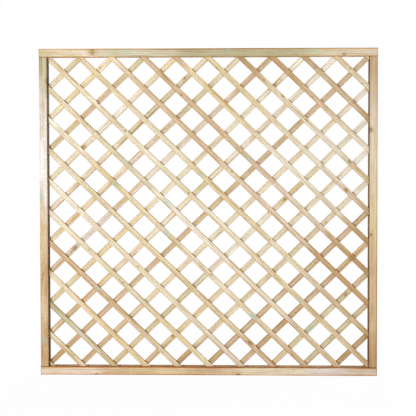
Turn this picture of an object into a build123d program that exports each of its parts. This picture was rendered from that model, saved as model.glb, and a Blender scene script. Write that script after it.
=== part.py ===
from build123d import *
import math
import os

# Framed trellis panel: a grooved timber frame that holds a diagonal lattice of two slat layers.
# Millimetres. X runs across the panel, Y from front to back, Z up. The origin is at the bottom
# centre of the panel, and the front layer of slats faces -Y.

# Overall size
panel_width = 1800.0
panel_height = 1746.0

# Frame timber
frame_depth = 45.0
rail_face = 45.0
stile_face = 45.0
frame_arris = 4.0
groove_depth = 12.0

# Slats
slat_width = 28.0
slat_thickness = 9.0
slat_arris = 1.5
diamonds_across = 10
diamonds_up = 10
lattice_lift = 10.0

# Fits
slat_clearance = 0.3
tenon_clearance = 0.1
fixing_clearance = 0.1

# Frame screws, two at each corner, driven through the rails into the stile ends
screw_length = 80.0
screw_diameter = 5.0
screw_head_diameter = 9.5
screw_head_height = 2.8
screw_sink = 0.5
recess_span = 4.6
recess_slot = 1.0
recess_depth = 2.0
screw_place_shares = (0.3, 0.7)

# Lattice nails, one at each crossing, driven from the back
nail_length = 16.0
nail_diameter = 2.0
nail_head_diameter = 4.6
nail_head_height = 0.8

# Sizes that follow from the ones above
inner_width = panel_width - 2 * stile_face
inner_height = panel_height - 2 * rail_face
groove_width = 2 * (slat_thickness + slat_clearance)
slat_bite = groove_depth - slat_clearance
tenon_width = stile_face - groove_depth
tenon_thickness = groove_width - 2 * tenon_clearance
tenon_length = groove_depth - tenon_clearance
pitch_x = inner_width / diamonds_across
pitch_z = (inner_height - lattice_lift) / diamonds_up
panel_diagonal = math.hypot(panel_width, panel_height)


def box_between(low, high):
    """Return a box between two opposite corners."""
    size = [high[k] - low[k] for k in range(3)]
    middle = [(high[k] + low[k]) / 2 for k in range(3)]
    return Pos(*middle) * Box(*size)


def nail_shape(room):
    """Return a flat-headed nail along +Z with its head at the origin, grown by the room round it."""
    tip_length = nail_diameter
    shank_length = nail_length - nail_head_height - tip_length
    up = (Align.CENTER, Align.CENTER, Align.MIN)
    head = Cylinder(nail_head_diameter / 2 + room, nail_head_height, align=up)
    shank = Pos(0, 0, nail_head_height) * Cylinder(nail_diameter / 2 + room, shank_length, align=up)
    tip_start = nail_head_height + shank_length
    tip = Pos(0, 0, tip_start) * Cone(nail_diameter / 2 + room, 0, tip_length + room, align=up)
    return head + shank + tip


def screw_shape(room):
    """Return a countersunk screw along +Z with its head at the origin, grown by the room round it."""
    tip_length = screw_diameter
    shank_length = screw_length - screw_head_height - tip_length
    up = (Align.CENTER, Align.CENTER, Align.MIN)
    head_radius = screw_head_diameter / 2 + room
    shank_radius = screw_diameter / 2 + room
    head = Cone(head_radius, shank_radius, screw_head_height, align=up)
    shank = Pos(0, 0, screw_head_height) * Cylinder(shank_radius, shank_length, align=up)
    tip_start = screw_head_height + shank_length
    tip = Pos(0, 0, tip_start) * Cone(shank_radius, 0, tip_length + room, align=up)
    return head + shank + tip


def screw():
    """Return one frame screw with its cross recess."""
    up = (Align.CENTER, Align.CENTER, Align.MIN)
    long_slot = Box(recess_span, recess_slot, recess_depth, align=up)
    cross_slot = Box(recess_slot, recess_span, recess_depth, align=up)
    return screw_shape(0) - long_slot - cross_slot


def screw_space():
    """Return the space that a screw and the mouth over its sunk head take out of the timber."""
    mouth_radius = screw_head_diameter / 2 + fixing_clearance
    mouth = Cylinder(mouth_radius, screw_sink, align=(Align.CENTER, Align.CENTER, Align.MAX))
    return screw_shape(fixing_clearance) + mouth


def screw_planes(at_top):
    """Return a plane for each screw of one rail, with its normal along the drive direction."""
    height = panel_height - screw_sink if at_top else screw_sink
    drive = (0, 0, -1) if at_top else (0, 0, 1)
    planes = []
    for side in (-1, 1):
        for share in screw_place_shares:
            across = side * (panel_width / 2 - share * tenon_width)
            planes.append(Plane(origin=(across, 0, height), x_dir=(1, 0, 0), z_dir=drive))
    return planes


def rail(at_top):
    """Return the top or bottom rail: a full-width rounded bar, grooved on its inner side."""
    middle = panel_height - rail_face / 2 if at_top else rail_face / 2
    section = RectangleRounded(frame_depth, rail_face, frame_arris)
    across = Plane(origin=(0, 0, middle), x_dir=(0, 1, 0), z_dir=(1, 0, 0))
    bar = extrude(across * section, amount=panel_width / 2, both=True)
    inner_face = panel_height - rail_face if at_top else rail_face
    groove_floor = inner_face + groove_depth if at_top else inner_face - groove_depth
    bottom, top = sorted((inner_face, groove_floor))
    groove = box_between(
        (-panel_width / 2, -groove_width / 2, bottom),
        (panel_width / 2, groove_width / 2, top),
    )
    spaces = [plane * screw_space() for plane in screw_planes(at_top)]
    return bar - [groove] - spaces


def stile(side):
    """Return a stile: an upright bar between the rails, with a stub tenon in each rail's groove."""
    middle = side * (panel_width - stile_face) / 2
    section = RectangleRounded(stile_face, frame_depth, frame_arris)
    foot = Plane(origin=(middle, 0, rail_face))
    bar = extrude(foot * section, amount=inner_height)
    inner_face = side * inner_width / 2
    groove_floor = inner_face + side * groove_depth
    outer_face = side * panel_width / 2
    low_x, high_x = sorted((inner_face, groove_floor))
    groove = box_between(
        (low_x, -groove_width / 2, rail_face),
        (high_x, groove_width / 2, panel_height - rail_face),
    )
    low_x, high_x = sorted((groove_floor, outer_face))
    tenons = box_between(
        (low_x, -tenon_thickness / 2, rail_face - tenon_length),
        (high_x, tenon_thickness / 2, panel_height - rail_face + tenon_length),
    )
    spaces = [plane * screw_space() for at_top in (False, True) for plane in screw_planes(at_top)]
    return bar - groove + tenons - spaces


def crossing(step, cross_step):
    """Return where front slat number step crosses back slat number cross_step, as X and Z."""
    across = (step + cross_step - diamonds_up) / 2
    up = (step - cross_step + diamonds_up) / 2
    x = -inner_width / 2 + across * pitch_x
    z = rail_face + lattice_lift + up * pitch_z
    inside = 0 < across < diamonds_across and 0 < up < diamonds_up
    return x, z, inside


def nail_planes(front_steps, back_steps):
    """Return a plane at each nail that joins the given front slats to the given back slats."""
    planes = []
    for step in front_steps:
        for cross_step in back_steps:
            x, z, inside = crossing(step, cross_step)
            if inside:
                planes.append(Plane(origin=(x, slat_thickness, z), x_dir=(1, 0, 0), z_dir=(0, -1, 0)))
    return planes


def slat(step, in_front):
    """Return one slat, cut off inside the frame's grooves and holed for its nails."""
    slope = -pitch_z if in_front else pitch_z
    along = Vector(pitch_x, 0, slope).normalized()
    square_to = Vector(-along.Z, 0, along.X)
    x, z, _ = crossing(step, diamonds_across) if in_front else crossing(diamonds_up, step)
    layer_y = -slat_thickness / 2 if in_front else slat_thickness / 2
    section = RectangleRounded(slat_width, slat_thickness, slat_arris)
    start = Plane(origin=(x, layer_y, z), x_dir=square_to, z_dir=along)
    bar = extrude(start * section, amount=panel_diagonal, both=True)
    opening = box_between(
        (-inner_width / 2 - slat_bite, -slat_thickness, rail_face - slat_bite),
        (inner_width / 2 + slat_bite, slat_thickness, panel_height - rail_face + slat_bite),
    )
    planes = nail_planes([step], slat_steps) if in_front else nail_planes(slat_steps, [step])
    holes = [plane * nail_shape(fixing_clearance) for plane in planes]
    cut_bar = bar & opening
    return cut_bar - holes if holes else cut_bar


slat_steps = range(diamonds_across + diamonds_up + 1)

nodes = {
    "top_rail": rail(True),
    "bottom_rail": rail(False),
    "left_stile": stile(-1),
    "right_stile": stile(1),
    "top_frame_screws": Compound([plane * screw() for plane in screw_planes(True)]),
    "bottom_frame_screws": Compound([plane * screw() for plane in screw_planes(False)]),
    "lattice_nails": Compound([plane * nail_shape(0) for plane in nail_planes(slat_steps, slat_steps)]),
}
for step in slat_steps:
    nodes[f"front_slat_{step + 1:02d}"] = slat(step, True)
    nodes[f"back_slat_{step + 1:02d}"] = slat(step, False)

os.makedirs("parts", exist_ok=True)
for name, shape in nodes.items():
    export_step(shape, f"parts/{name}.step")
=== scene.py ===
"""Looks for the trellis panel: treated pine frame, two layers of slats, screws and nails."""
import math
import random

import bpy
from mathutils import Matrix, Vector


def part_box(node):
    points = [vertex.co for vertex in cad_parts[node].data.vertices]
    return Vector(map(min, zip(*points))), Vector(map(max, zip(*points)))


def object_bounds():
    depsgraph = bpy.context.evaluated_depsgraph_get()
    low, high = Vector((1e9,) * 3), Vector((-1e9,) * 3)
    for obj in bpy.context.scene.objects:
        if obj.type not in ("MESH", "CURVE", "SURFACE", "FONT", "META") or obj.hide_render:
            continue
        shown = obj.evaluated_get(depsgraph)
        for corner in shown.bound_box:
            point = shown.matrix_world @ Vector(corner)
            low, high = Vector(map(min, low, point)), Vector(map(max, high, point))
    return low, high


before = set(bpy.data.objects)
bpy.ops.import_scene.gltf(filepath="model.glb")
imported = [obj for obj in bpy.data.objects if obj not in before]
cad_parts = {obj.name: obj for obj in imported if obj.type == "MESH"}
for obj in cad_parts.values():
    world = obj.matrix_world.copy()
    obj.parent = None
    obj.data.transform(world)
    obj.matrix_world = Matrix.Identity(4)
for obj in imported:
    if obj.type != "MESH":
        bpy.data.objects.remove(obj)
cad_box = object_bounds()

bl_info = {
    "name": "Trellis panel",
    "version": (1, 0, 0),
    "blender": (4, 5, 0),
    "location": "View3D > Sidebar > Trellis",
    "description": "Finishes a framed diagonal trellis panel in treated pine",
    "category": "Object",
}

# Directions of the pieces, as turns about Y from a level one.
LEVEL = 0.0
UPRIGHT = math.radians(-90.0)
SLAT_FALL = math.radians(43.9)

# Diamonds across the opening, and half sizes of the timber in metres.
DIAMONDS = 10
SLAT_HALF_WIDTH = 0.014
SLAT_HALF_DEPTH = 0.0045
FRAME_HALF = 0.0225

# How far the tint of the frame's sides, painted shade on the grooved ones, reaches onto its faces, in
# metres.
FRAME_SIDE_REACH = 0.006

WHITE = (1.0, 1.0, 1.0)
NOISE_MIDDLE = 0.5

# Noise: cells per metre along a piece, across its face and through it, then detail and roughness.
PATTERNS = {
    "tone": ((2.3, 7.0, 7.0), 3.0, 0.6),
    "wander": ((2.4, 5.0, 5.0), 2.0, 0.5),
    "uneven rings": ((2.0, 80.0, 80.0), 2.0, 0.5),
    "fibres": ((9.0, 900.0, 900.0), 3.0, 0.5),
    "streaks": ((3.4, 120.0, 120.0), 3.0, 0.62),
    "bands": ((1.6, 46.0, 46.0), 2.0, 0.5),
    "mottle": ((13.0, 34.0, 34.0), 3.0, 0.6),
    "resin": ((2.4, 75.0, 75.0), 2.0, 0.6),
    "patches": ((11.0, 40.0, 40.0), 3.0, 0.65),
    "cracks": ((4.0, 300.0, 300.0), 1.0, 0.5),
    "saw marks": ((420.0, 20.0, 20.0), 1.0, 0.5),
    "knot warp": ((90.0, 90.0, 20.0), 2.0, 0.5),
    "steel": ((900.0, 900.0, 900.0), 3.0, 0.5),
}

# Where each effect begins and where it is full, on the noise, the field or the distance that it follows.
FADES = {
    "ring": (0.25, 0.86),
    "ring edge": (1.0, 0.9),
    "resin": (0.56, 0.72),
    "olive": (0.46, 0.70),
    "rosy": (0.52, 0.34),
    "stain streaks": (0.3, 0.62),
    "knot core": (1.15, 0.7),
    "knot fibres": (0.45, 0.8),
    "rim outside": (0.0, 0.4),
    "rim inside": (1.0, 0.6),
    "rim streaks": (0.25, 0.7),
    "halo": (0.1, 0.9),
    "corner": (0.012, 0.004),
    "edge": (0.008, 0.004),
    "edge streaks": (0.2, 0.55),
    "cracks": (0.68, 0.74),
    "sawn end": (0.0042, 0.0012),
}

# How much of each effect shows where it is full.
AMOUNTS = {"resin": 0.6, "rosy": 0.8, "stain": 0.72, "halo": 0.65, "knot": 0.8, "rim": 0.9}

# Lighter and darker wood: each layer's pale and dark noise, and its share. The rings have a share too.
SHADE_LAYERS = {"streaks": (0.33, 0.67, 0.34), "bands": (0.36, 0.64, 0.20), "mottle": (0.33, 0.67, 0.22)}
RING_SHADE = 0.24

# Contrast spreads the shade about its middle, which then lies at the level.
SHADE_MIDDLE = 0.49
SHADE_LEVEL = 0.43

# The fibres' pale and dark noise, and what the tone is multiplied by at each of them.
FIBRE_SHADE = (0.3, 0.8, 1.05, 0.9)

# Multipliers of the tone: in the palest wood, and in patches that took more or less treatment.
PALE_WOOD = (1.14, 1.18, 1.28)
OLIVE_TINT = (0.94, 1.0, 0.82)
ROSY_TINT = (1.02, 0.97, 1.0)

# Rings: how much a place along the piece counts beside one across it, and how uneven they are in rings.
LOG_TAPER = 0.012
RING_UNEVENNESS = 1.1

# Knots, counted in their radii: how far the edge strays, and how fast the swirl fades along and across.
KNOT_WARP = 0.8
SWIRL_ALONG = 0.36
SWIRL_ACROSS = 0.62

# How far the tones stray along a piece, as a share of its length.
TONE_WOBBLE = 0.5

# How far one seed's grain lies from the next one's, in metres.
SEED_STEPS = (3.17, 1.73, 2.39)

# How far the resin along an edge strays, in metres, and how much of that a sawn side's edge does.
RAGGED_EDGE = 0.006
RAGGED_SIDE_SHARE = 0.4

# Surface of the pine: its gloss, then the relief of its rings, fibres and saw marks.
PINE_ROUGHNESS = 0.72
FIBRE_ROUGHNESS = 0.2
PINE_SPECULAR = 0.25
RING_RELIEF = 0.35
FIBRE_RELIEF = 0.4
SAW_RELIEF = 0.25
RELIEF_STRENGTH = 0.6

# Surface of the steel: its dullest tone as a share of its colour, and the spread of its roughness.
DULL_STEEL = 0.72
STEEL_UNEVENNESS = 0.16


def paint(red, green, blue):
    """A colour picked as it looks on a screen, from 0 to 255, in Blender's linear values."""
    def linear(value):
        share = value / 255
        return share / 12.92 if share <= 0.04045 else ((share + 0.055) / 1.055) ** 2.4
    return linear(red), linear(green), linear(blue)


def colour_value(label, words, default):
    return bpy.props.FloatVectorProperty(
        name=label, description=words, default=default, subtype="COLOR", size=3, min=0.0, max=1.0)


def length_value(label, words, default):
    return bpy.props.FloatProperty(
        name=label, description=words, default=default, unit="LENGTH", precision=4)


def place_value(label, words, default):
    return bpy.props.FloatVectorProperty(
        name=label, description=words, default=default, subtype="TRANSLATION", unit="LENGTH")


def angle_value(label, words, degrees):
    return bpy.props.FloatProperty(
        name=label, description=words, default=math.radians(degrees), subtype="ANGLE")


def camera_length_value(label, words, default):
    return bpy.props.FloatProperty(
        name=label, description=words, default=default, subtype="DISTANCE_CAMERA")


def power_value(label, words, default):
    return bpy.props.FloatProperty(name=label, description=words, default=default, unit="POWER")


def share_value(label, words, default):
    return bpy.props.FloatProperty(
        name=label, description=words, default=default, min=0.0, max=1.0, subtype="FACTOR")


class TrellisTimber(bpy.types.PropertyGroup):
    """Colours and grain of the treated pine, and the painted shade of some of its sides"""
    ivory: colour_value("Ivory", "Nearly white sapwood", paint(229, 221, 211))
    cream: colour_value("Cream", "Palest sapwood", paint(236, 228, 208))
    straw: colour_value("Straw", "Plain pale pine", paint(229, 217, 187))
    honey: colour_value("Honey", "Warm pine", paint(225, 206, 165))
    peach: colour_value("Peach", "Pale orange pine", paint(229, 212, 180))
    rose: colour_value("Rose", "Pinkish heartwood", paint(228, 212, 190))
    tan: colour_value("Tan", "Darker heartwood", paint(212, 187, 151))
    brown: colour_value("Brown", "Darkest heartwood", paint(197, 165, 120))
    olive: colour_value("Olive", "Pine tinted by its treatment", paint(213, 201, 163))
    moss: colour_value("Moss", "Darkest treated pine", paint(190, 181, 145))
    sage: colour_value("Sage", "Pine with the most treatment in it", paint(212, 207, 179))
    summer_wood: colour_value("Summer wood", "Multiplies the tone in the darkest wood", paint(222, 205, 178))
    rust: colour_value("Rust", "Multiplies the tone where resin has darkened it", paint(228, 188, 142))
    edge_resin: colour_value(
        "Edge resin", "Multiplies the tone along the frame's edges", paint(242, 186, 122))
    # The slats' sides: their sawn colour, with painted shade on those sides and along their edges.
    sawn_side_and_shade: colour_value("Sawn side and shade", "Multiplies the tone on the slats' sides", paint(196, 172, 136))
    outer_side: colour_value(
        "Outer side", "Multiplies the tone on the frame's plain sides", paint(246, 236, 220))
    # Painted shade: darkens the bottom rail's grooved top side, the ledge under the slats.
    rail_groove_shade: colour_value(
        "Rail groove shade", "Multiplies the tone on the bottom rail's grooved side", paint(186, 158, 116))
    # Painted shade: darkens the stiles' grooved inner sides, which face the opening.
    stile_groove_shade: colour_value(
        "Stile groove shade", "Multiplies the tone on the stiles' grooved sides", paint(118, 92, 66))
    sawn_end: colour_value("Sawn end", "Multiplies the tone on cut ends and in cracks", paint(198, 180, 152))
    knot: colour_value("Knot", "Middle of a knot", paint(152, 138, 92))
    knot_rim: colour_value("Knot rim", "Dark bark round a knot", paint(98, 76, 42))
    treatment: colour_value("Treatment", "Green of the treatment where it gathers", paint(142, 204, 188))
    ring_width: length_value("Ring width", "Distance between two growth rings", 0.0036)
    ring_wander: length_value("Ring wander", "How far the rings stray along a piece", 0.006)
    knot_swell: length_value("Knot swell", "How far a knot pushes the rings aside", 0.009)
    grain_depth: length_value("Grain depth", "Relief of the grain", 0.0003)


class TrellisSteel(bpy.types.PropertyGroup):
    """Finish of the screws and nails"""
    screw_colour: colour_value("Screw", "Yellow passivated zinc", paint(196, 176, 120))
    nail_colour: colour_value("Nail", "Grey galvanised zinc", paint(168, 170, 170))
    screw_roughness: share_value("Screw roughness", "Roughness of the screws", 0.34)
    nail_roughness: share_value("Nail roughness", "Roughness of the nails", 0.48)


class TrellisStage(bpy.types.PropertyGroup):
    """Camera, lamps and floor"""
    camera_place: place_value("Camera place", "Where the camera stands", (0.159, -4.4, 1.245))
    camera_tilt: angle_value("Tilt", "How far the camera looks down", 1.5)
    camera_turn: angle_value("Turn", "How far the camera looks to the left", 1.2)
    camera_roll: angle_value("Roll", "How far the camera leans", -0.08)
    camera_lens: camera_length_value("Lens", "Focal length in millimetres", 71.3)
    sensor_width: camera_length_value("Sensor width", "Width of the camera's sensor in millimetres", 36.0)
    camera_shift: bpy.props.FloatVectorProperty(
        name="Shift", description="Lens shift to the right and up", default=(-0.03, -0.105), size=2)
    key_place: place_value("Key place", "Where the front lamp stands", (-5.6, -7.6, 1.9))
    key_size: length_value("Key size", "Side of the front lamp", 2.4)
    key_power: power_value("Key power", "Power of the front lamp", 600.0)
    back_place: place_value("Back place", "Where the lamp behind the panel stands", (0.5, 5.4, 2.3))
    back_size: length_value("Back size", "Side of the lamp behind the panel", 2.6)
    back_power: power_value("Back power", "Power of the lamp behind the panel", 150.0)
    side_place: place_value("Side place", "Where the lamp on the right stands", (6.5, 2.6, 2.0))
    side_size: length_value("Side size", "Side of the lamp on the right", 2.6)
    side_power: power_value("Side power", "Power of the lamp on the right", 210.0)
    room_light: bpy.props.FloatProperty(
        name="Room light", description="Strength of the light from all round", default=0.22)
    ceiling_light: bpy.props.FloatProperty(
        name="Ceiling light", description="Strength of the light added from overhead", default=0.5)
    floor_colour: colour_value("Floor", "Colour of the floor", paint(240, 240, 240))
    floor_roughness: share_value("Floor roughness", "Roughness of the floor", 0.9)
    floor_size: length_value("Floor size", "Side of the square floor", 60.0)
    floor_drop: length_value("Floor drop", "How far the floor lies under the panel", 0.0005)
    floor_glow: share_value("Floor glow", "How much of the floor by the panel is plain white", 0.97)
    glow_start: length_value("Glow start", "Distance at which more of the floor turns white", 0.8)
    glow_end: length_value("Glow end", "Distance at which all of the floor is white", 3.0)


def new_group(name, inputs, outputs):
    """A shader node group with its sockets, and its first and last nodes."""
    group = bpy.data.node_groups.new(name, "ShaderNodeTree")
    for side, sockets in (("INPUT", inputs), ("OUTPUT", outputs)):
        for label, kind in sockets.items():
            group.interface.new_socket(label, in_out=side, socket_type="NodeSocket" + kind)
    return group, group.nodes.new("NodeGroupInput"), group.nodes.new("NodeGroupOutput")


class Board:
    """Short ways to add and link nodes in one tree."""

    def __init__(self, tree):
        self.tree = tree

    def add(self, kind, *sources, **settings):
        node = self.tree.nodes.new(kind)
        for key, value in settings.items():
            setattr(node, key, value)
        for socket, source in enumerate(sources):
            self.feed(node.inputs[socket], source)
        return node

    def feed(self, socket, source):
        """Links another node's output to the socket, or writes a plain value on the socket itself."""
        if source is None:
            return
        if isinstance(source, bpy.types.NodeSocket):
            self.tree.links.new(source, socket)
        elif socket.type == "RGBA":
            socket.default_value = (*source, 1.0)
        else:
            socket.default_value = source

    def math(self, operation, first, second=None, **settings):
        return self.add("ShaderNodeMath", first, second, operation=operation, **settings).outputs[0]

    def sum_of(self, first, *others):
        for other in others:
            first = self.math("ADD", first, other)
        return first

    def less(self, first, second):
        return self.math("SUBTRACT", first, second)

    def times(self, first, *others):
        for other in others:
            first = self.math("MULTIPLY", first, other)
        return first

    def over(self, first, second):
        return self.math("DIVIDE", first, second)

    def soft_step(self, value, low, high, low_out=0.0, high_out=1.0):
        node = self.add("ShaderNodeMapRange", value, low, high, low_out, high_out)
        node.interpolation_type = "SMOOTHSTEP"
        return node.outputs[0]

    def fade(self, value, effect):
        return self.soft_step(value, *FADES[effect])

    def split(self, vector):
        return self.add("ShaderNodeSeparateXYZ", vector).outputs

    def join(self, x, y, z):
        return self.add("ShaderNodeCombineXYZ", x, y, z).outputs[0]

    def vector(self, operation, *sources):
        return self.add("ShaderNodeVectorMath", *sources, operation=operation).outputs[0]

    def stretch(self, vector, scale):
        return self.vector("MULTIPLY", vector, scale)

    def length(self, vector):
        return self.add("ShaderNodeVectorMath", vector, operation="LENGTH").outputs["Value"]

    def pattern(self, vector, name):
        """The value and the colour of a noise, in the scale that it has on the piece."""
        cells, detail, roughness = PATTERNS[name]
        node = self.add("ShaderNodeTexNoise", self.stretch(vector, cells))
        node.inputs["Scale"].default_value = 1.0
        node.inputs["Detail"].default_value = detail
        node.inputs["Roughness"].default_value = roughness
        return node.outputs

    def mix(self, share, first, second, blend_type="MIX"):
        node = self.add("ShaderNodeMix", data_type="RGBA", blend_type=blend_type)
        self.feed(node.inputs[0], share)
        self.feed(node.inputs[6], first)
        self.feed(node.inputs[7], second)
        return node.outputs[2]

    def darken(self, share, colour, factor):
        """The colour, multiplied by the factor as far as the share says."""
        return self.mix(share, colour, factor, "MULTIPLY")


def knot_group():
    """How near a point is to a knot that runs through the piece: its core, and the swirl round it."""
    group, start, end = new_group(
        "knot", {"Vector": "Vector", "Along": "Float", "Across": "Float", "Radius": "Float"},
        {"Core": "Float", "Swirl": "Float"})
    board = Board(group)
    vector, along, across, radius = start.outputs[:4]
    warp = board.pattern(vector, "knot warp")[0]
    x, y, _ = board.split(vector)
    x = board.over(board.less(x, along), radius)
    y = board.over(board.less(y, across), radius)
    reach = board.math("POWER", board.sum_of(board.times(x, x), board.times(y, y)), 0.5)
    reach = board.sum_of(reach, board.times(board.less(warp, NOISE_MIDDLE), KNOT_WARP))
    board.feed(end.inputs["Core"], board.fade(reach, "knot core"))
    x, y = board.times(x, SWIRL_ALONG), board.times(y, SWIRL_ACROSS)
    fall = board.sum_of(board.times(x, x), board.times(y, y))
    board.feed(end.inputs["Swirl"], board.math("POWER", math.exp(-1.0), fall))
    return group


def growth_rings(board, into, place, timber):
    """How dark the rings are, in the piece's own frame: X along it, Y across its face, Z through it."""
    wander = board.vector("SUBTRACT", board.pattern(place, "wander")[1], (NOISE_MIDDLE,) * 3)
    stray = 2.0 * timber.ring_wander
    moved = board.vector("MULTIPLY_ADD", wander, (0.0, stray, stray), into["Vector"])
    from_heart = board.vector("SUBTRACT", moved, into["Heart"])
    reach = board.length(board.stretch(from_heart, (LOG_TAPER, 1.0, 1.0)))
    reach = board.sum_of(reach, board.times(into["Swirl"], timber.knot_swell))
    uneven = board.pattern(place, "uneven rings")[0]
    rings = board.sum_of(board.over(reach, timber.ring_width), board.times(uneven, RING_UNEVENNESS))
    phase = board.math("FRACT", rings)
    return board.times(board.fade(phase, "ring"), board.fade(phase, "ring edge"))


def wood_colour(board, into, noise, rings, timber):
    """The tone, lighter and darker from fine fibres to bands as wide as a slat."""
    shade = board.times(rings, RING_SHADE)
    for layer, (pale_at, dark_at, share) in SHADE_LAYERS.items():
        shade = board.sum_of(shade, board.times(board.soft_step(noise[layer], pale_at, dark_at), share))
    shade = board.sum_of(board.times(board.less(shade, SHADE_MIDDLE), into["Contrast"]), SHADE_LEVEL)
    shade = board.math("MULTIPLY", shade, 1.0, use_clamp=True)
    pale = board.stretch(into["Tone"], PALE_WOOD)
    dark = board.stretch(into["Tone"], timber.summer_wood)
    fine = board.soft_step(noise["fibres"], *FIBRE_SHADE)
    return board.stretch(board.mix(shade, pale, dark), board.join(fine, fine, fine))


def add_tints(board, into, place, noise, colour, timber):
    """Resin, patches that took more or less treatment, and stains where it gathered."""
    resin = board.fade(board.pattern(place, "resin")[0], "resin")
    colour = board.darken(board.times(resin, into["Contrast"], AMOUNTS["resin"]), colour, timber.rust)
    patches = board.pattern(place, "patches")[0]
    olive = board.times(board.fade(patches, "olive"), into["Green"])
    colour = board.mix(olive, colour, board.stretch(colour, OLIVE_TINT))
    rosy = board.times(board.fade(patches, "rosy"), AMOUNTS["rosy"])
    colour = board.mix(rosy, colour, board.stretch(colour, ROSY_TINT))
    streaks = board.fade(noise["streaks"], "stain streaks")
    stain = board.times(into["Stain"], into["Stain"], streaks, AMOUNTS["stain"])
    return board.mix(stain, colour, timber.treatment)


def add_knots(board, into, noise, colour, timber):
    """Knots with a dark rim, and the rusty wood round them."""
    core = into["Core"]
    rim = board.times(board.fade(core, "rim outside"), board.fade(core, "rim inside"))
    halo = board.times(board.fade(into["Swirl"], "halo"), AMOUNTS["halo"])
    colour = board.darken(halo, colour, timber.rust)
    knotty = board.mix(board.fade(noise["fibres"], "knot fibres"), timber.knot, colour)
    colour = board.mix(board.times(core, AMOUNTS["knot"]), colour, knotty)
    rim = board.times(rim, board.fade(noise["streaks"], "rim streaks"), AMOUNTS["rim"])
    return board.mix(rim, colour, timber.knot_rim)


def add_edges(board, into, place, noise, colour, timber):
    """Resin along the edges, sawn sides with their colour and painted shade, drying cracks and sawn ends."""
    x, y, z = board.split(into["Vector"])
    ragged = board.times(board.less(noise["mottle"], NOISE_MIDDLE), RAGGED_EDGE)
    inward = board.less(into["Half Depth"], board.math("ABSOLUTE", z))
    corner = board.fade(inward, "corner")
    to_edges = (("High", board.less(into["Half Width"], y)), ("Low", board.sum_of(into["Half Width"], y)))
    for name, distance in to_edges:
        near = board.fade(board.sum_of(distance, ragged), "edge")
        near = board.times(near, corner, into[name + " Edge"], board.fade(noise["streaks"], "edge streaks"))
        colour = board.darken(near, colour, timber.edge_resin)
    # Each side's tint: the sawn colour, with painted shade on the slats' sides and the frame's grooved
    # sides.
    for name, distance in to_edges:
        distance = board.sum_of(distance, board.times(ragged, RAGGED_SIDE_SHARE))
        near = board.soft_step(distance, into["Side Reach"], 0.0)
        colour = board.darken(near, colour, into[name + " Side"])
    cracks = board.fade(board.pattern(place, "cracks")[0], "cracks")
    colour = board.darken(cracks, colour, timber.sawn_end)
    from_end = board.less(into["End"], board.math("ABSOLUTE", x))
    return board.darken(board.fade(from_end, "sawn end"), colour, timber.sawn_end)


def timber_group(timber):
    """Pine cut from a log, with its rings, fibres, treatment, knots, edges and sawn ends."""
    numbers = ("Half Width", "Half Depth", "End", "Seed", "Contrast", "Green", "Core", "Swirl", "Stain",
               "Low Edge", "High Edge", "Side Reach")
    group, start, end = new_group(
        "pine_timber",
        {"Vector": "Vector", "Heart": "Vector", "Tone": "Color", "Low Side": "Color", "High Side": "Color",
         **{label: "Float" for label in numbers}},
        {"Color": "Color", "Roughness": "Float", "Height": "Float"})
    board = Board(group)
    into = start.outputs
    offset = board.join(*[board.times(into["Seed"], step) for step in SEED_STEPS])
    place = board.vector("ADD", into["Vector"], offset)
    noise = {name: board.pattern(place, name)[0] for name in ("fibres", *SHADE_LAYERS)}
    rings = growth_rings(board, into, place, timber)
    colour = wood_colour(board, into, noise, rings, timber)
    colour = add_tints(board, into, place, noise, colour, timber)
    colour = add_knots(board, into, noise, colour, timber)
    colour = add_edges(board, into, place, noise, colour, timber)
    board.feed(end.inputs["Color"], colour)
    rough_fibres = board.times(noise["fibres"], FIBRE_ROUGHNESS)
    board.feed(end.inputs["Roughness"], board.sum_of(PINE_ROUGHNESS, rough_fibres))
    saw_marks = board.pattern(place, "saw marks")[0]
    board.feed(end.inputs["Height"], board.sum_of(
        board.times(rings, RING_RELIEF), board.times(noise["fibres"], FIBRE_RELIEF),
        board.times(saw_marks, SAW_RELIEF)))
    return group


def timber_groups(timber):
    """The shared node groups, made the first time that they are asked for."""
    made = bpy.data.node_groups
    return made.get("knot") or knot_group(), made.get("pine_timber") or timber_group(timber)


def tone_along(board, own, length, timber, names):
    """The timber's tone from one end of a piece to the other, through the named colours in turn."""
    x = board.split(own)[0]
    wobble = board.less(board.pattern(own, "tone")[0], NOISE_MIDDLE)
    share = board.sum_of(board.over(x, length), 0.5, board.times(wobble, TONE_WOBBLE))
    node = board.add("ShaderNodeValToRGB", share)
    ramp = node.color_ramp
    ramp.interpolation = "EASE"
    stops = names.split()
    if len(stops) == 1:
        stops = stops * 2
    for step, name in enumerate(stops):
        at = step / (len(stops) - 1)
        if step == 0:
            stop = ramp.elements[0]
        elif step == len(stops) - 1:
            stop = ramp.elements[len(ramp.elements) - 1]
        else:
            stop = ramp.elements.new(at)
        stop.position = at
        stop.color = (*getattr(timber, name), 1.0)
    return node.outputs["Color"]


def middle_and_length(piece, turn):
    """Where the middle of a piece is, and how long it is in its own direction."""
    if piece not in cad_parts:
        raise RuntimeError("The frame has no piece named " + piece)
    turned = Matrix.Rotation(turn, 3, "Y")
    corners = [turned.transposed() @ vertex.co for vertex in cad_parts[piece].data.vertices]
    low, high = ([pick(corner[axis] for corner in corners) for axis in range(3)] for pick in (min, max))
    return turned @ ((Vector(low) + Vector(high)) / 2), high[0] - low[0]


def own_vector(board, middle, turn):
    """A point's place from the middle of its piece: X along it, Y across its face, Z through it."""
    where = board.tree.nodes.new("ShaderNodeTexCoord").outputs["Object"]
    mapping = board.add("ShaderNodeMapping", where, vector_type="TEXTURE")
    mapping.inputs["Location"].default_value = middle
    mapping.inputs["Rotation"].default_value = (0.0, turn, 0.0)
    x, y, z = board.split(mapping.outputs[0])
    return board.join(x, z, y)


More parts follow.
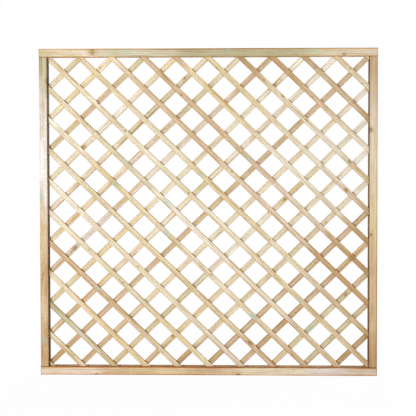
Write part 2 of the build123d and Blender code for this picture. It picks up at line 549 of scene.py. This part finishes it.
def spot_fields(board, own, spot, knots, stains):
    """How strongly the knots and stains show at a point, each as the strongest of its kind."""
    fields = {"core": None, "swirl": None, "stain": None}
    takes = [(knots, (("Core", "core"), ("Swirl", "swirl"))), (stains, (("Swirl", "stain"),))]
    for places, sockets in takes:
        for place in places:
            node = board.add("ShaderNodeGroup", node_tree=spot)
            for socket, value in zip(node.inputs, (own, *place)):
                board.feed(socket, value)
            for source, target in sockets:
                found = node.outputs[source]
                held = fields[target]
                fields[target] = found if held is None else board.math("MAXIMUM", held, found)
    return fields


def timber_material(context, piece, turn, tones, seed, heart, knots=(), stains=(), **amounts):
    """Pine for one piece. Knots and stains are (along, across, radius) in metres from the piece's middle."""
    timber = context.scene.trellis_timber
    spot, pine = timber_groups(timber)
    material = bpy.data.materials.new(piece + "_pine")
    material.use_nodes = True
    tree = material.node_tree
    shader = tree.nodes["Principled BSDF"]
    board = Board(tree)
    middle, length = middle_and_length(piece, turn)
    own = own_vector(board, middle, turn)
    fields = spot_fields(board, own, spot, knots, stains)

    wood = board.add("ShaderNodeGroup", node_tree=pine)
    tone = tone_along(board, own, length, timber, tones)
    values = {"vector": own, "heart": heart, "tone": tone, "seed": float(seed), "end": length / 2,
              **fields, **amounts}
    for label, value in values.items():
        board.feed(wood.inputs[label.replace("_", " ").title()], value)
    bump = board.add("ShaderNodeBump")
    bump.inputs["Strength"].default_value = RELIEF_STRENGTH
    bump.inputs["Distance"].default_value = timber.grain_depth
    board.feed(bump.inputs["Height"], wood.outputs["Height"])
    board.feed(shader.inputs["Base Color"], wood.outputs["Color"])
    board.feed(shader.inputs["Roughness"], wood.outputs["Roughness"])
    board.feed(shader.inputs["Normal"], bump.outputs[0])
    shader.inputs["Specular IOR Level"].default_value = PINE_SPECULAR
    return material


def dress(piece, material):
    """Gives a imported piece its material."""
    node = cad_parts.get(piece)
    if node is None:
        raise RuntimeError("The frame has no piece named " + piece)
    for slot in node.material_slots:
        slot.material = material


# Each bar's tones run from its left or lower end. The seed sets its grain apart, the heart is where the
# middle of the log lay, and knots and stains are (along, across, radius) from the bar's middle in metres.
FRAME_BARS = {
    "top_rail": {
        "tones": "olive rose sage sage moss moss moss olive rose",
        "seed": 3, "heart": (0.0, 0.028, 0.05),
        "knots": ((-0.613, 0.004, 0.012), (0.722, -0.012, 0.006)),
        "stains": ((-0.43, 0.008, 0.008), (0.112, 0.016, 0.008), (0.57, 0.004, 0.01)),
        "green": 0.3, "contrast": 0.9, "low_edge": 0.4, "high_edge": 1.0},
    "bottom_rail": {
        "tones": "rose rose rose tan honey honey honey tan straw straw straw ivory ivory tan",
        "seed": 7, "heart": (0.0, -0.02, 0.06),
        "knots": ((-0.6, -0.022, 0.008), (0.16, -0.02, 0.009)),
        "green": 0.3, "contrast": 1.0, "low_edge": 1.0, "high_edge": 0.9},
    "left_stile": {
        "tones": "brown brown tan brown tan tan ivory ivory ivory ivory moss",
        "seed": 11, "heart": (0.0, 0.012, 0.05),
        "knots": ((0.70, -0.021, 0.007),),
        "stains": ((-0.686, 0.006, 0.01), (0.087, 0.016, 0.012)),
        "green": 0.5, "contrast": 1.1},
    "right_stile": {
        "tones": "brown tan tan honey straw rose tan",
        "seed": 13, "heart": (0.0, 0.03, 0.03),
        "knots": ((0.44, 0.016, 0.009), (-0.117, 0.012, 0.006)),
        "green": 0.3, "contrast": 1.0, "low_edge": 0.7},
}


def dress_bar(context, piece, turn, low_side, high_side, **more):
    """Gives one bar of the frame its pine."""
    dress(piece, timber_material(
        context, piece, turn, **FRAME_BARS[piece], low_side=low_side, high_side=high_side,
        half_width=FRAME_HALF, half_depth=FRAME_HALF, side_reach=FRAME_SIDE_REACH, **more))


class TRELLIS_OT_rails(bpy.types.Operator):
    """Finish the top and bottom rails"""
    bl_idname = "trellis.rails"
    bl_label = "Rails"

    def execute(self, context):
        timber = context.scene.trellis_timber
        dress_bar(context, "top_rail", LEVEL, timber.outer_side, timber.outer_side)
        # The bottom rail's grooved top side takes painted shade.
        dress_bar(context, "bottom_rail", LEVEL, timber.outer_side, timber.rail_groove_shade)
        return {"FINISHED"}


class TRELLIS_OT_stiles(bpy.types.Operator):
    """Finish the left and right stiles"""
    bl_idname = "trellis.stiles"
    bl_label = "Stiles"

    def execute(self, context):
        timber = context.scene.trellis_timber
        half_shown = (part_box("top_rail")[0].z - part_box("bottom_rail")[1].z) / 2
        # The stiles' grooved inner sides take painted shade.
        dress_bar(context, "left_stile", UPRIGHT, timber.stile_groove_shade, timber.outer_side, end=half_shown)
        dress_bar(context, "right_stile", UPRIGHT, timber.outer_side, timber.stile_groove_shade, end=half_shown)
        return {"FINISHED"}


# Each slat's tones run from its left end to its right end. The first entry is slat 01.
FRONT_TONES = (
    "olive", "straw olive straw", "moss sage tan", "straw honey honey", "tan tan straw",
    "cream straw olive honey straw", "cream straw rose", "straw straw honey honey tan",
    "cream honey straw straw tan", "straw olive cream straw tan", "straw straw straw honey tan",
    "honey straw honey straw brown", "peach tan tan rose rose brown brown",
    "tan tan tan tan rose rose brown brown", "tan honey honey honey straw cream cream cream tan brown",
    "honey honey cream tan", "brown straw cream honey", "brown brown tan straw cream",
    "brown tan tan brown", "honey straw", "honey")
BACK_TONES = (
    "straw", "straw olive", "straw honey peach", "olive tan olive", "straw cream honey",
    "rose straw olive straw", "cream peach rose olive straw", "tan ivory ivory peach rose rose rose tan tan",
    "olive honey straw cream cream", "tan peach peach cream cream", "brown tan tan tan tan",
    "brown peach straw peach cream", "honey olive cream honey cream", "tan honey straw straw cream",
    "brown straw straw straw cream", "brown tan tan tan tan", "tan brown tan honey", "honey olive tan",
    "olive olive tan", "brown", "brown")

# Knots and stains that stand out, by slat number. Each is counted in diamonds from the left stile, then
# in half widths across the slat, and has its radius in millimetres.
FRONT_KNOTS = {
    7: ((2.8, 0.0, 4),), 8: ((6.3, 0.2, 9),), 11: ((2.4, 0.3, 4), (4.4, 0.0, 4)),
    14: ((4.2, -0.4, 4), (9.5, 0.0, 8)), 16: ((9.3, 0.0, 8),), 17: ((7.3, 0.5, 5), (9.4, 0.2, 6)),
    20: ((9.4, 0.4, 4),)}
FRONT_STAINS = {
    5: ((1.5, 0.0, 7),), 9: ((2.1, 0.0, 9), (2.6, 0.0, 7), (3.7, 0.0, 10), (6.4, 0.0, 11)),
    10: ((2.4, 0.2, 8), (2.6, 0.0, 8), (3.7, 0.0, 12)), 11: ((7.9, -0.2, 7),), 12: ((4.8, 0.0, 9),),
    14: ((6.3, 0.0, 9),), 17: ((9.4, 0.0, 6),)}
BACK_KNOTS = {
    5: ((1.1, 0.0, 9),), 6: ((4.3, 0.4, 5),), 8: ((0.8, 0.0, 10),), 9: ((7.1, 0.0, 5),),
    13: ((7.4, 0.0, 7),), 14: ((3.9, 0.3, 6),), 18: ((9.3, 0.0, 7),)}
BACK_STAINS = {8: ((0.9, 0.0, 8),), 18: ((8.2, 0.0, 10),)}

# What each slat draws by chance, in metres where it is a length: two pin knots, where its heart lies,
# which of its sides are rusty, how green and how lively it is, and how far its sides' tint and painted shade
# reach.
PIN_KNOTS = 2
PIN_ACROSS = (-0.012, 0.012)
PIN_RADIUS = (0.0015, 0.0035)
HEART_ACROSS = (-0.03, 0.03)
HEART_DEPTH = (0.025, 0.06)
RUSTY_SIDES = 0.35
SLAT_GREEN = (0.3, 1.0)
SLAT_CONTRAST = (1.05, 1.45)
SLAT_SIDE_REACH = (0.002, 0.005)
FIRST_SEEDS = {"front_slat": 20, "back_slat": 70}


def on_slat(places, middle):
    """Turns places counted in diamonds from the left stile into metres from the slat's middle."""
    left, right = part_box("left_stile")[1].x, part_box("right_stile")[0].x
    step = (right - left) / DIAMONDS
    return [((left + at * step - middle.x) / math.cos(SLAT_FALL), across * SLAT_HALF_WIDTH, size / 1000)
            for at, across, size in places]


def dress_slats(context, layer, turn, tones, knots, stains):
    """Gives each slat of a layer its pine, and its own chance look."""
    timber = context.scene.trellis_timber
    for number, names in enumerate(tones, 1):
        piece = "%s_%02d" % (layer, number)
        chance = random.Random(piece)
        middle, length = middle_and_length(piece, turn)
        pins = [(chance.uniform(-length / 2, length / 2), chance.uniform(*PIN_ACROSS),
                 chance.uniform(*PIN_RADIUS)) for _ in range(PIN_KNOTS)]
        heart = (0.0, chance.uniform(*HEART_ACROSS), chance.uniform(*HEART_DEPTH))
        # Each side takes rust or the sawn side colour, and on the sides either one is partly painted shade.
        low, high = [timber.rust if chance.random() < RUSTY_SIDES else timber.sawn_side_and_shade for _ in range(2)]
        dress(piece, timber_material(
            context, piece, turn, names, FIRST_SEEDS[layer] + number, heart,
            knots=[*on_slat(knots.get(number, ()), middle), *pins],
            stains=on_slat(stains.get(number, ()), middle), low_side=low, high_side=high,
            half_width=SLAT_HALF_WIDTH, half_depth=SLAT_HALF_DEPTH, green=chance.uniform(*SLAT_GREEN),
            contrast=chance.uniform(*SLAT_CONTRAST), side_reach=chance.uniform(*SLAT_SIDE_REACH)))


class TRELLIS_OT_front_slats(bpy.types.Operator):
    """Finish the front layer of slats, which fall to the right"""
    bl_idname = "trellis.front_slats"
    bl_label = "Front slats"

    def execute(self, context):
        dress_slats(context, "front_slat", SLAT_FALL, FRONT_TONES, FRONT_KNOTS, FRONT_STAINS)
        return {"FINISHED"}


class TRELLIS_OT_back_slats(bpy.types.Operator):
    """Finish the back layer of slats, which rise to the right"""
    bl_idname = "trellis.back_slats"
    bl_label = "Back slats"

    def execute(self, context):
        dress_slats(context, "back_slat", -SLAT_FALL, BACK_TONES, BACK_KNOTS, BACK_STAINS)
        return {"FINISHED"}


def steel_material(name, colour, roughness):
    """Plated steel with a faint mottle in its tone and gloss."""
    material = bpy.data.materials.new(name)
    material.use_nodes = True
    tree = material.node_tree
    shader = tree.nodes["Principled BSDF"]
    board = Board(tree)
    mottle = board.pattern(tree.nodes.new("ShaderNodeTexCoord").outputs["Object"], "steel")[0]
    dull = [DULL_STEEL * part for part in colour]
    board.feed(shader.inputs["Base Color"], board.mix(mottle, dull, colour))
    uneven = board.times(board.less(mottle, NOISE_MIDDLE), STEEL_UNEVENNESS)
    board.feed(shader.inputs["Roughness"], board.sum_of(roughness, uneven))
    shader.inputs["Metallic"].default_value = 1.0
    return material


class TRELLIS_OT_fixings(bpy.types.Operator):
    """Finish the frame screws and the lattice nails"""
    bl_idname = "trellis.fixings"
    bl_label = "Fixings"

    def execute(self, context):
        steel = context.scene.trellis_steel
        screws = steel_material("screw_zinc", steel.screw_colour, steel.screw_roughness)
        for name in ("top_frame_screws", "bottom_frame_screws"):
            dress(name, screws)
        dress("lattice_nails", steel_material("nail_zinc", steel.nail_colour, steel.nail_roughness))
        return {"FINISHED"}


def seen_directly(board):
    """1 where the camera, a reflection or glass shows a surface, and 0 for the light that it casts."""
    rays = board.tree.nodes.new("ShaderNodeLightPath").outputs
    seen = board.sum_of(rays["Is Camera Ray"], rays["Is Glossy Ray"])
    return board.math("ADD", seen, rays["Is Transmission Ray"], use_clamp=True)


def white_world(stage):
    """A room that lights the panel softly, a little more from overhead, and looks white behind it."""
    world = bpy.data.worlds.new("studio_room")
    bpy.context.scene.world = world
    world.use_nodes = True
    board = Board(world.node_tree)
    background = world.node_tree.nodes["Background"]
    board.feed(background.inputs["Color"], WHITE)
    way = world.node_tree.nodes.new("ShaderNodeTexCoord").outputs["Generated"]
    up = board.math("MAXIMUM", board.split(way)[2], 0.0)
    light = board.sum_of(board.times(up, up, stage.ceiling_light), stage.room_light)
    shown = board.times(seen_directly(board), board.less(1.0, light))
    board.feed(background.inputs["Strength"], board.sum_of(light, shown))


def floor_material(stage):
    """Matt white that keeps a soft shadow by the panel and shows as plain white further off."""
    material = bpy.data.materials.new("floor_white")
    material.use_nodes = True
    tree = material.node_tree
    board = Board(tree)
    shader = tree.nodes["Principled BSDF"]
    board.feed(shader.inputs["Base Color"], stage.floor_colour)
    shader.inputs["Roughness"].default_value = stage.floor_roughness
    shader.inputs["Specular IOR Level"].default_value = 0.0
    glow = board.add("ShaderNodeEmission", WHITE, 1.0)
    away = board.length(tree.nodes.new("ShaderNodeTexCoord").outputs["Object"])
    white = board.soft_step(away, stage.glow_start, stage.glow_end, stage.floor_glow, 1.0)
    share = board.times(seen_directly(board), white)
    blend = board.add("ShaderNodeMixShader", share, shader.outputs[0], glow.outputs[0])
    board.feed(tree.nodes["Material Output"].inputs["Surface"], blend.outputs[0])
    return material


def area_lamp(name, place, target, size, power):
    bpy.ops.object.light_add(type="AREA", location=place)
    lamp = bpy.context.object
    lamp.name = name
    lamp.rotation_euler = (Vector(target) - Vector(place)).to_track_quat("-Z", "Y").to_euler()
    lamp.data.size = size
    lamp.data.energy = power


def stand_camera(stage):
    """Adds the camera at the photograph's viewing angle and returns it."""
    bpy.ops.object.camera_add(location=stage.camera_place)
    camera = bpy.context.object
    camera.name = "camera"
    level_view = math.radians(90.0)
    turn = (Matrix.Rotation(stage.camera_turn, 3, "Z")
            @ Matrix.Rotation(level_view - stage.camera_tilt, 3, "X")
            @ Matrix.Rotation(stage.camera_roll, 3, "Z"))
    camera.rotation_euler = turn.to_euler()
    camera.data.lens = stage.camera_lens
    camera.data.sensor_width = stage.sensor_width
    camera.data.shift_x, camera.data.shift_y = stage.camera_shift
    return camera


class TRELLIS_OT_stage(bpy.types.Operator):
    """Set the camera, lamps and floor"""
    bl_idname = "trellis.stage"
    bl_label = "Stage"

    def execute(self, context):
        stage = context.scene.trellis_stage
        bpy.ops.mesh.primitive_plane_add(size=stage.floor_size, location=(0.0, 0.0, -stage.floor_drop))
        floor = context.object
        floor.name = "floor"
        floor.data.materials.append(floor_material(stage))
        white_world(stage)
        middle = (cad_box[0] + cad_box[1]) / 2
        area_lamp("key_lamp", stage.key_place, middle, stage.key_size, stage.key_power)
        area_lamp("back_lamp", stage.back_place, middle, stage.back_size, stage.back_power)
        area_lamp("side_lamp", stage.side_place, middle, stage.side_size, stage.side_power)
        context.scene.camera = stand_camera(stage)
        context.scene.view_settings.view_transform = "Standard"
        return {"FINISHED"}


class TRELLIS_PT_panel(bpy.types.Panel):
    """Buttons for each part of the trellis panel"""
    bl_label = "Trellis panel"
    bl_idname = "TRELLIS_PT_panel"
    bl_space_type = "VIEW_3D"
    bl_region_type = "UI"
    bl_category = "Trellis"

    def draw(self, context):
        for step in STEPS:
            self.layout.operator(step.bl_idname, text=step.bl_label)
        for group in GROUPS:
            settings = getattr(context.scene, group)
            for key in settings.__annotations__:
                self.layout.prop(settings, key)


GROUPS = {"trellis_timber": TrellisTimber, "trellis_steel": TrellisSteel, "trellis_stage": TrellisStage}
STEPS = (TRELLIS_OT_rails, TRELLIS_OT_stiles, TRELLIS_OT_front_slats, TRELLIS_OT_back_slats,
         TRELLIS_OT_fixings, TRELLIS_OT_stage)


def register():
    for name, group in GROUPS.items():
        bpy.utils.register_class(group)
        setattr(bpy.types.Scene, name, bpy.props.PointerProperty(type=group))
    for part in (*STEPS, TRELLIS_PT_panel):
        bpy.utils.register_class(part)


def unregister():
    for part in (TRELLIS_PT_panel, *reversed(STEPS)):
        bpy.utils.unregister_class(part)
    for name, group in GROUPS.items():
        delattr(bpy.types.Scene, name)
        bpy.utils.unregister_class(group)


def main():
    register()
    bpy.ops.object.select_all(action="DESELECT")
    bpy.ops.trellis.rails()
    bpy.ops.trellis.stiles()
    bpy.ops.trellis.front_slats()
    bpy.ops.trellis.back_slats()
    bpy.ops.trellis.fixings()
    bpy.ops.trellis.stage()


if __name__ == "__main__":
    main()
